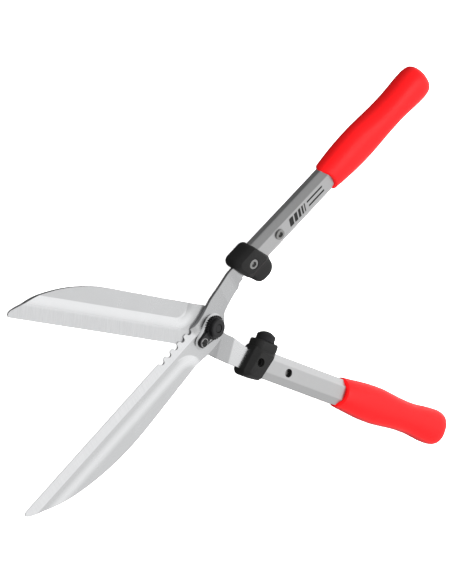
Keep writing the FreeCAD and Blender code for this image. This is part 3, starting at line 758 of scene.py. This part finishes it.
# ---------------------------------------------------------------- shader groups
def new_group(name, inputs, outputs):
    """An empty shader group with named sockets; inputs are (name, type, default)."""
    group = bpy.data.node_groups.new(name, "ShaderNodeTree")
    for label, kind, default in inputs:
        socket = group.interface.new_socket(name=label, in_out="INPUT", socket_type=kind)
        if default is not None:
            socket.default_value = default
    for label, kind in outputs:
        group.interface.new_socket(name=label, in_out="OUTPUT", socket_type=kind)
    start = group.nodes.new("NodeGroupInput")
    end = group.nodes.new("NodeGroupOutput")
    return group, start, end


def math_node(tree, operation, a, b=None, c=None):
    """A math node fed by sockets or numbers; returns its output."""
    node = tree.nodes.new("ShaderNodeMath")
    node.operation = operation
    for i, value in enumerate((a, b, c)):
        if value is None:
            continue
        if isinstance(value, (int, float)):
            node.inputs[i].default_value = value
        else:
            tree.links.new(value, node.inputs[i])
    return node.outputs[0]


def plus_part(tree, base, value, factor):
    """base + value * factor"""
    return math_node(tree, "MULTIPLY_ADD", value, factor, base)


def centred(tree, noise, factor):
    """A noise shifted to lie round zero, times a factor."""
    return math_node(tree, "MULTIPLY", math_node(tree, "SUBTRACT", noise, 0.5), factor)


def field_value(tree, name, output="Fac"):
    node = tree.nodes.new("ShaderNodeAttribute")
    node.attribute_name = name
    return node.outputs[output]


def scaled(tree, vector, factors):
    node = tree.nodes.new("ShaderNodeVectorMath")
    node.operation = "MULTIPLY"
    tree.links.new(vector, node.inputs[0])
    node.inputs[1].default_value = factors
    return node.outputs[0]


def noise_value(tree, vector, scale, detail=3.0, roughness=0.55):
    node = tree.nodes.new("ShaderNodeTexNoise")
    node.inputs["Scale"].default_value = scale
    node.inputs["Detail"].default_value = detail
    node.inputs["Roughness"].default_value = roughness
    tree.links.new(vector, node.inputs["Vector"])
    return node.outputs["Fac"]


def group_smudge():
    """Handling marks: a broad noise and a fine one, each centred on zero, added to a base roughness;
    the broad one also gives a slight change of shade."""
    if "handling_marks" in bpy.data.node_groups:
        return bpy.data.node_groups["handling_marks"]
    group, start, end = new_group(
        "handling_marks",
        [("Vector", "NodeSocketVector", None), ("Base Roughness", "NodeSocketFloat", 0.4),
         ("Broad", "NodeSocketFloat", 0.08), ("Fine", "NodeSocketFloat", 0.05),
         ("Size", "NodeSocketFloat", 60.0)],
        [("Roughness", "NodeSocketFloat"), ("Shade", "NodeSocketFloat")])
    broad = group.nodes.new("ShaderNodeTexNoise")
    fine = group.nodes.new("ShaderNodeTexNoise")
    for node, detail in ((broad, 4.0), (fine, 2.0)):
        node.inputs["Detail"].default_value = detail
        group.links.new(start.outputs["Vector"], node.inputs["Vector"])
    group.links.new(start.outputs["Size"], broad.inputs["Scale"])
    group.links.new(math_node(group, "MULTIPLY", start.outputs["Size"], 22.0), fine.inputs["Scale"])
    a = centred(group, broad.outputs["Fac"], start.outputs["Broad"])
    b = centred(group, fine.outputs["Fac"], start.outputs["Fine"])
    total = math_node(group, "ADD", math_node(group, "ADD", a, b), start.outputs["Base Roughness"])
    group.links.new(total, end.inputs["Roughness"])
    group.links.new(plus_part(group, 1.0, a, 0.8), end.inputs["Shade"])
    return group


def group_lines():
    """Fine parallel lines: noise stretched along one direction at two scales, centred on zero."""
    if "grinding_lines" in bpy.data.node_groups:
        return bpy.data.node_groups["grinding_lines"]
    group, start, end = new_group(
        "grinding_lines",
        [("Vector", "NodeSocketVector", None), ("Strength", "NodeSocketFloat", 1.0)],
        [("Lines", "NodeSocketFloat")])
    total = None
    for scale, weight in ((1.0, 0.6), (3.7, 0.4)):
        node = group.nodes.new("ShaderNodeTexNoise")
        node.inputs["Scale"].default_value = scale
        node.inputs["Detail"].default_value = 2.0
        group.links.new(start.outputs["Vector"], node.inputs["Vector"])
        part = centred(group, node.outputs["Fac"], weight)
        total = part if total is None else math_node(group, "ADD", total, part)
    group.links.new(math_node(group, "MULTIPLY", total, start.outputs["Strength"]), end.inputs["Lines"])
    return group


def group_pebble():
    """Fine moulded grain: cells of a smooth Voronoi pattern broken up by noise, as a height."""
    if "moulded_grain" in bpy.data.node_groups:
        return bpy.data.node_groups["moulded_grain"]
    group, start, end = new_group(
        "moulded_grain",
        [("Vector", "NodeSocketVector", None), ("Size", "NodeSocketFloat", 1500.0)],
        [("Height", "NodeSocketFloat")])
    cells = group.nodes.new("ShaderNodeTexVoronoi")
    cells.feature = "SMOOTH_F1"
    grain = group.nodes.new("ShaderNodeTexNoise")
    grain.inputs["Detail"].default_value = 3.0
    for node in (cells, grain):
        group.links.new(start.outputs["Vector"], node.inputs["Vector"])
        group.links.new(start.outputs["Size"], node.inputs["Scale"])
    mixed = plus_part(group, grain.outputs["Fac"], cells.outputs["Distance"], 0.6)
    group.links.new(mixed, end.inputs["Height"])
    return group


# ---------------------------------------------------------------- finishes
LINE_DEPTH = 0.00003
GRAIN_DEPTH = 0.00006
GRINDING_TURN = -14.0
SCREW_HIGHLIGHT_RING = (3.75, 4.0)     # distances from the screw's axis between which the side of its head gets a painted highlight


def start_material(name, metallic=0.0, specular=0.5):
    """A new material with its constants set on the shader's own sockets."""
    material = bpy.data.materials.new(name)
    material.use_nodes = True
    tree = material.node_tree
    shader = tree.nodes["Principled BSDF"]
    shader.inputs["Metallic"].default_value = metallic
    shader.inputs["Specular IOR Level"].default_value = specular
    place = tree.nodes.new("ShaderNodeTexCoord").outputs["Object"]
    return material, tree, shader, place


def smooth_share(tree, value, low, high):
    """0 below low, 1 above high, smooth between."""
    node = tree.nodes.new("ShaderNodeMapRange")
    node.interpolation_type = "SMOOTHSTEP"
    node.inputs["From Min"].default_value = low
    node.inputs["From Max"].default_value = high
    tree.links.new(value, node.inputs["Value"])
    return node.outputs["Result"]


def blend_to_number(tree, share, value, number):
    """The value where the share is 0, the number where it is 1."""
    difference = math_node(tree, "MULTIPLY_ADD", value, -1.0, number)
    return math_node(tree, "MULTIPLY_ADD", difference, share, value)


def use_group(tree, group, **values):
    node = tree.nodes.new("ShaderNodeGroup")
    node.node_tree = group
    for label, value in values.items():
        socket = node.inputs[label.replace("_", " ")]
        if isinstance(value, (int, float)):
            socket.default_value = value
        else:
            tree.links.new(value, socket)
    return node


def shaded_colour(tree, shader, colour, shade):
    """Base colour multiplied by a shade that varies round one."""
    node = tree.nodes.new("ShaderNodeVectorMath")
    node.operation = "SCALE"
    node.inputs[0].default_value = colour[:3]
    tree.links.new(shade, node.inputs["Scale"])
    tree.links.new(node.outputs[0], shader.inputs["Base Color"])


def set_bump(tree, shader, height, strength, distance):
    bump = tree.nodes.new("ShaderNodeBump")
    bump.inputs["Strength"].default_value = strength
    bump.inputs["Distance"].default_value = distance
    tree.links.new(height, bump.inputs["Height"])
    tree.links.new(bump.outputs["Normal"], shader.inputs["Normal"])


def steel_material():
    """Polished pressed steel; beside the edge it is ground, with fine lines across the strip."""
    if "blade_steel_finish" in bpy.data.materials:
        return bpy.data.materials["blade_steel_finish"]
    material, tree, shader, place = start_material("blade_steel_finish", metallic=1.0)
    ground = field_value(tree, "ground")
    slanted = tree.nodes.new("ShaderNodeMapping")
    slanted.inputs["Rotation"].default_value = (0.0, 0.0, math.radians(GRINDING_TURN))
    tree.links.new(field_value(tree, "blade_place", "Vector"), slanted.inputs["Vector"])
    along = scaled(tree, slanted.outputs["Vector"], (2.6, 0.05, 0.05))
    lines = use_group(tree, group_lines(), Vector=along, Strength=ground).outputs["Lines"]
    marks = use_group(
        tree, group_smudge(), Vector=place, Base_Roughness=0.25, Broad=0.10, Fine=0.08, Size=38.0)
    rough = plus_part(tree, marks.outputs["Roughness"], lines, 0.22)
    tree.links.new(plus_part(tree, rough, ground, 0.09), shader.inputs["Roughness"])
    shade = plus_part(tree, marks.outputs["Shade"], lines, 0.55)
    # the neck's painted tone: duller steel, plus painted shade and painted highlight on each bent facet
    shade = plus_part(tree, shade, field_value(tree, "neck"), -1.0)
    # the ground strip is made a little lighter: partly brighter ground steel, partly a painted highlight of
    # the bevel's reflection
    shaded_colour(tree, shader, colours().steel, plus_part(tree, shade, ground, 0.09))
    grain = noise_value(tree, place, 2600.0, 2.0)
    set_bump(tree, shader, plus_part(tree, lines, grain, 0.35), 0.2, LINE_DEPTH)
    return material


def metal_material(name, colour, roughness, stretch, strength, metallic=1.0, specular=0.5):
    """Turned or plated metal: stretched lines and handling marks in the roughness."""
    material, tree, shader, place = start_material(name, metallic=metallic, specular=specular)
    lines = use_group(tree, group_lines(), Vector=scaled(tree, place, stretch), Strength=strength)
    lines = lines.outputs["Lines"]
    marks = use_group(
        tree, group_smudge(), Vector=place, Base_Roughness=roughness, Broad=0.10, Fine=0.08, Size=70.0)
    tree.links.new(plus_part(tree, marks.outputs["Roughness"], lines, 0.25), shader.inputs["Roughness"])
    shaded_colour(tree, shader, colour, plus_part(tree, marks.outputs["Shade"], lines, 0.12))
    set_bump(tree, shader, lines, 0.2, LINE_DEPTH)
    return material


def tube_material(arm):
    """Satin aluminium drawn along the handle: the lines follow each handle's own direction."""
    material, tree, shader, place = start_material(arm + "_drawn_aluminium", metallic=1.0)
    turned = tree.nodes.new("ShaderNodeMapping")
    heading = side_of(arm) * (sizes().half_open + sizes().handle_turn)
    turned.inputs["Rotation"].default_value = (0.0, 0.0, -heading)
    tree.links.new(place, turned.inputs["Vector"])
    along = scaled(tree, turned.outputs["Vector"], (22.0, 2300.0, 1500.0))
    lines = use_group(tree, group_lines(), Vector=along, Strength=1.0).outputs["Lines"]
    marks = use_group(
        tree, group_smudge(), Vector=place, Base_Roughness=0.36, Broad=0.08, Fine=0.08, Size=55.0)
    tree.links.new(plus_part(tree, marks.outputs["Roughness"], lines, 0.2), shader.inputs["Roughness"])
    shaded_colour(tree, shader, colours().aluminium, plus_part(tree, marks.outputs["Shade"], lines, 0.14))
    set_bump(tree, shader, lines, 0.25, LINE_DEPTH)
    return material


def moulded_material(name, colour, roughness, grain, strength, specular=0.5, size=30.0):
    """Moulded plastic or rubber: fine grain in the surface and handling marks in the sheen."""
    if name in bpy.data.materials:
        return bpy.data.materials[name]
    material, tree, shader, place = start_material(name, specular=specular)
    marks = use_group(
        tree, group_smudge(), Vector=place, Base_Roughness=roughness, Broad=0.14, Fine=0.08, Size=size)
    tree.links.new(marks.outputs["Roughness"], shader.inputs["Roughness"])
    shaded_colour(tree, shader, colour, marks.outputs["Shade"])
    pebble = use_group(tree, group_pebble(), Vector=place, Size=grain)
    set_bump(tree, shader, pebble.outputs["Height"], strength, GRAIN_DEPTH)
    return material


def nylon_material():
    return moulded_material("moulded_black_nylon", colours().nylon, 0.5, 1700.0, 0.22, specular=0.2)


def rubber_material():
    return moulded_material("black_buffer_rubber", colours().rubber, 0.6, 1300.0, 0.25, specular=0.15)


def grip_material():
    return moulded_material("red_soft_vinyl", colours().grip, 0.42, 1100.0, 0.10, specular=0.25, size=26.0)


def ink_material():
    return moulded_material("printed_black_ink", colours().ink, 0.5, 2500.0, 0.1, specular=0.3)


def screw_material():
    """Blackened screw with a painted highlight round the side of its head: bright where the distance
    from the screw's axis nears the head's radius."""
    material, tree, shader, place = start_material("black_screw_painted_highlight", metallic=0.9)
    x, y = arm_to_world(1.0, np.array([[SCREW_AT[0], SCREW_AT[1], 0.0]]))[0, :2] * MM
    parts = tree.nodes.new("ShaderNodeSeparateXYZ")
    tree.links.new(place, parts.inputs[0])
    across = math_node(tree, "POWER", math_node(tree, "ADD", parts.outputs["X"], -float(x)), 2.0)
    up = math_node(tree, "POWER", math_node(tree, "ADD", parts.outputs["Y"], -float(y)), 2.0)
    reach = math_node(tree, "SQRT", math_node(tree, "ADD", across, up))
    # painted highlight: a bright ring on the side of the screw's head
    rim = smooth_share(tree, reach, SCREW_HIGHLIGHT_RING[0] * MM, SCREW_HIGHLIGHT_RING[1] * MM)
    marks = use_group(tree, group_smudge(), Vector=place, Base_Roughness=0.34, Broad=0.1, Fine=0.1, Size=90.0)
    tree.links.new(marks.outputs["Roughness"], shader.inputs["Roughness"])
    shade = math_node(tree, "MULTIPLY", marks.outputs["Shade"], plus_part(tree, 0.03, rim, 0.85))
    shaded_colour(tree, shader, (1.0, 1.0, 1.0, 1.0), shade)
    return material


def finish_carried_nodes():
    """Finishes for the pieces whose shape comes with the frame."""
    c = colours()
    zinc = metal_material("bright_zinc", c.zinc, 0.27, (900.0, 900.0, 90.0), 0.7)
    oxide = metal_material("black_oxide_steel", c.oxide, 0.36, (1200.0, 1200.0, 200.0), 0.6, 0.5, 0.35)
    # painted shade: the sunk sleeve nuts get a darkened zinc instead of the bolts' bright zinc
    sleeve = metal_material("sleeve_nut_painted_shade", c.sleeve, 0.42, (900.0, 900.0, 90.0), 0.7)
    filler = moulded_material("tang_filler", c.nylon, 0.55, 1700.0, 0.2)
    table = {
        "pivot_bolt": oxide, "head_washer": zinc, "nut_washer": zinc, "toothed_nut": oxide,
        "locking_segment": oxide, "segment_screw": screw_material(),
    }
    for arm in ("upper", "lower"):
        table[arm + "_handle_tube"] = tube_material(arm)
        table[arm + "_tang_insert"] = filler
        for place in ("collar", "tube"):
            table[arm + "_" + place + "_bolt"] = zinc
            table[arm + "_" + place + "_nut"] = sleeve
    for node, material in table.items():
        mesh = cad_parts[node].data
        mesh.materials.clear()
        mesh.materials.append(material)


# ---------------------------------------------------------------- stage
CAMERA_TILT = 50.10
CAMERA_ROLL = 75.56
CAMERA_SPIN = -62.48
CAMERA_OFFSET = (14.31, 31.15, 3631.8)
CAMERA_LENS = 246.6
FLOOR_LEVEL = -0.3          # millimetres
FLOOR_RADII = (0.4, 60.0, 240.0, 900.0, 3000.0)
FLOOR_DEPTH = 10.0
FLOOR_GLOW = 0.8
# The surround's brightness round the horizon, as (share of a full turn from -X through -Y, value)
SKY_STEPS = [(0.0, 0.25), (0.12, 0.42), (0.25, 0.84), (0.36, 0.84), (0.425, 1.02), (0.47, 1.26),
             (0.50, 1.46), (0.555, 1.34), (0.61, 0.95), (0.67, 0.62), (0.74, 0.50), (0.82, 0.45),
             (0.90, 0.25), (1.0, 0.25)]
SKY_PEAK = 1.5
SKY_OVERHEAD = 0.80
SKY_BELOW = 0.10
# Lamps: name, place and size in metres, power in watts
LAMPS = [("key_lamp", (0.2, 0.1, 2.3), 1.8, 50.0), ("fill_lamp", (-1.6, 0.84, 1.55), 1.4, 40.0)]


def turn_about(axis, degrees):
    return np.array(Matrix.Rotation(math.radians(degrees), 3, axis))


def camera_axes():
    """Rows are the camera's right, up and backward directions: spin about the pivot axis, tilt, and
    roll about the line of sight."""
    return turn_about("Z", CAMERA_ROLL) @ turn_about("X", CAMERA_TILT) @ turn_about("Z", CAMERA_SPIN)


def make_camera():
    axes = camera_axes()
    place = axes.T @ np.array(CAMERA_OFFSET) + np.array([0.0, 0.0, sizes().contact / MM])
    data = bpy.data.cameras.new("studio_camera")
    data.sensor_width = 36.0
    data.lens = CAMERA_LENS
    data.clip_end = 50.0
    obj = bpy.data.objects.new("studio_camera", data)
    bpy.context.scene.collection.objects.link(obj)
    matrix = np.eye(4)
    matrix[:3, :3] = axes.T
    matrix[:3, 3] = place * MM
    obj.matrix_world = Matrix(matrix.tolist())
    bpy.context.scene.camera = obj


def make_floor():
    """A flat round sheet just under the pivot bolt's head; it glows a little, so that it stays white,
    and neither reflections nor diffuse light come from it."""
    low = FLOOR_LEVEL - FLOOR_DEPTH
    profile = [(r, FLOOR_LEVEL) for r in FLOOR_RADII] + [(FLOOR_RADII[-1], low), (FLOOR_RADII[0], low)]
    points, faces = shell(revolved(profile, 96))
    obj = mesh_object("studio_floor", points, faces)
    material, tree, shader, place = start_material("floor_paint", specular=0.05)
    marks = use_group(tree, group_smudge(), Vector=place, Base_Roughness=0.9, Broad=0.03, Fine=0.0, Size=3.0)
    tree.links.new(marks.outputs["Roughness"], shader.inputs["Roughness"])
    shaded_colour(tree, shader, colours().floor, marks.outputs["Shade"])
    shader.inputs["Emission Color"].default_value = (1.0, 1.0, 1.0, 1.0)
    shader.inputs["Emission Strength"].default_value = FLOOR_GLOW
    obj.data.materials.append(material)
    obj.visible_diffuse = False
    obj.visible_glossy = False


def area_light(name, place, size, power):
    """A round lamp that points at the pivot and isn't seen in reflections."""
    data = bpy.data.lights.new(name, "AREA")
    data.shape = "DISK"
    data.size = size
    data.energy = power
    obj = bpy.data.objects.new(name, data)
    bpy.context.scene.collection.objects.link(obj)
    backward = np.array(place) / np.linalg.norm(place)
    right = np.cross([0.0, 0.0, 1.0], backward)
    right /= np.linalg.norm(right)
    matrix = np.eye(4)
    matrix[:3, :3] = np.column_stack([right, np.cross(backward, right), backward])
    matrix[:3, 3] = place
    obj.matrix_world = Matrix(matrix.tolist())
    obj.visible_glossy = False


def make_sky():
    """A surround whose brightness follows the direction round the horizon, evened out overhead and
    dark below."""
    world = bpy.data.worlds.new("studio")
    bpy.context.scene.world = world
    world.use_nodes = True
    tree = world.node_tree
    direction = tree.nodes.new("ShaderNodeTexCoord")
    parts = tree.nodes.new("ShaderNodeSeparateXYZ")
    tree.links.new(direction.outputs["Generated"], parts.inputs[0])
    turn = math_node(tree, "ARCTAN2", parts.outputs["Y"], parts.outputs["X"])
    share = math_node(tree, "MULTIPLY_ADD", turn, 0.5 / math.pi, 0.5)
    ramp = tree.nodes.new("ShaderNodeValToRGB")
    tree.links.new(share, ramp.inputs["Fac"])
    steps = ramp.color_ramp.elements
    for index, (position, value) in enumerate(SKY_STEPS):
        grey = value / SKY_PEAK
        step = steps[index] if index < 2 else steps.new(position)
        step.position = position
        step.color = (grey, grey, grey, 1.0)
    overhead = smooth_share(tree, parts.outputs["Z"], 0.93, 1.0)
    around = blend_to_number(tree, overhead, ramp.outputs["Color"], SKY_OVERHEAD / SKY_PEAK)
    below = smooth_share(tree, math_node(tree, "MULTIPLY", parts.outputs["Z"], -1.0), 0.35, 0.6)
    value = blend_to_number(tree, below, around, SKY_BELOW / SKY_PEAK)
    background = tree.nodes["Background"]
    tree.links.new(value, background.inputs["Color"])
    background.inputs["Strength"].default_value = SKY_PEAK


def make_lights():
    """Two broad soft lamps, overhead and from the front, inside the surround that gives the
    reflections."""
    make_sky()
    for lamp in LAMPS:
        area_light(*lamp)
    view = bpy.context.scene.view_settings
    view.view_transform = "Standard"
    view.look = "None"


# ---------------------------------------------------------------- operators, panel, start
class SHEARS_OT_blades(bpy.types.Operator):
    """Shape the two pressed steel arms: blade, neck and tang"""
    bl_idname = "shears.blades"
    bl_label = "Blades"

    def execute(self, context):
        for arm in ("upper", "lower"):
            make_arm(arm)
        return {"FINISHED"}


class SHEARS_OT_anvil_collar(bpy.types.Operator):
    """Shape the upper arm's collar with its striking lobe"""
    bl_idname = "shears.anvil_collar"
    bl_label = "Anvil collar"

    def execute(self, context):
        make_anvil_collar()
        return {"FINISHED"}


class SHEARS_OT_buffer_collar(bpy.types.Operator):
    """Shape the lower arm's collar with the buffer's flange"""
    bl_idname = "shears.buffer_collar"
    bl_label = "Buffer collar"

    def execute(self, context):
        make_buffer_collar()
        return {"FINISHED"}


class SHEARS_OT_buffer(bpy.types.Operator):
    """Turn the domed rubber buffer"""
    bl_idname = "shears.buffer"
    bl_label = "Rubber buffer"

    def execute(self, context):
        make_buffer()
        return {"FINISHED"}


class SHEARS_OT_grips(bpy.types.Operator):
    """Loft the two soft grips"""
    bl_idname = "shears.grips"
    bl_label = "Grips"

    def execute(self, context):
        for arm in ("upper", "lower"):
            make_grip(arm)
        return {"FINISHED"}


class SHEARS_OT_printed_bars(bpy.types.Operator):
    """Lay the generic printed bars on the upper tube"""
    bl_idname = "shears.printed_bars"
    bl_label = "Printed bars"

    def execute(self, context):
        make_printed_bars()
        return {"FINISHED"}


class SHEARS_OT_finishes(bpy.types.Operator):
    """Give the tubes, bolts, nuts and washers their finishes"""
    bl_idname = "shears.finishes"
    bl_label = "Metal finishes"

    def execute(self, context):
        finish_carried_nodes()
        return {"FINISHED"}


class SHEARS_OT_stage(bpy.types.Operator):
    """Set up the floor, the lights and the camera"""
    bl_idname = "shears.stage"
    bl_label = "Studio"

    def execute(self, context):
        make_floor()
        make_lights()
        make_camera()
        return {"FINISHED"}


OPERATORS = (
    SHEARS_OT_blades, SHEARS_OT_anvil_collar, SHEARS_OT_buffer_collar, SHEARS_OT_buffer,
    SHEARS_OT_grips, SHEARS_OT_printed_bars, SHEARS_OT_finishes, SHEARS_OT_stage,
)


class SHEARS_PT_panel(bpy.types.Panel):
    """Sidebar panel with the sizes, the colours and one button for each step"""
    bl_idname = "SHEARS_PT_panel"
    bl_label = "Hedge shears"
    bl_space_type = "VIEW_3D"
    bl_region_type = "UI"
    bl_category = "Hedge shears"

    def draw(self, context):
        for group in (context.scene.shears_sizes, context.scene.shears_colours):
            box = self.layout.box()
            for name in group.__annotations__:
                box.prop(group, name)
        for operator in OPERATORS:
            self.layout.operator(operator.bl_idname)


CLASSES = (ShearsSizes, ShearsColours) + OPERATORS + (SHEARS_PT_panel,)


def register():
    for item in CLASSES:
        bpy.utils.register_class(item)
    bpy.types.Scene.shears_sizes = bpy.props.PointerProperty(type=ShearsSizes)
    bpy.types.Scene.shears_colours = bpy.props.PointerProperty(type=ShearsColours)


def unregister():
    del bpy.types.Scene.shears_colours
    del bpy.types.Scene.shears_sizes
    for item in reversed(CLASSES):
        bpy.utils.unregister_class(item)


def main():
    register()
    bpy.ops.shears.blades()
    bpy.ops.shears.anvil_collar()
    bpy.ops.shears.buffer_collar()
    bpy.ops.shears.buffer()
    bpy.ops.shears.grips()
    bpy.ops.shears.printed_bars()
    bpy.ops.shears.finishes()
    bpy.ops.shears.stage()


if __name__ == "__main__":
    main()
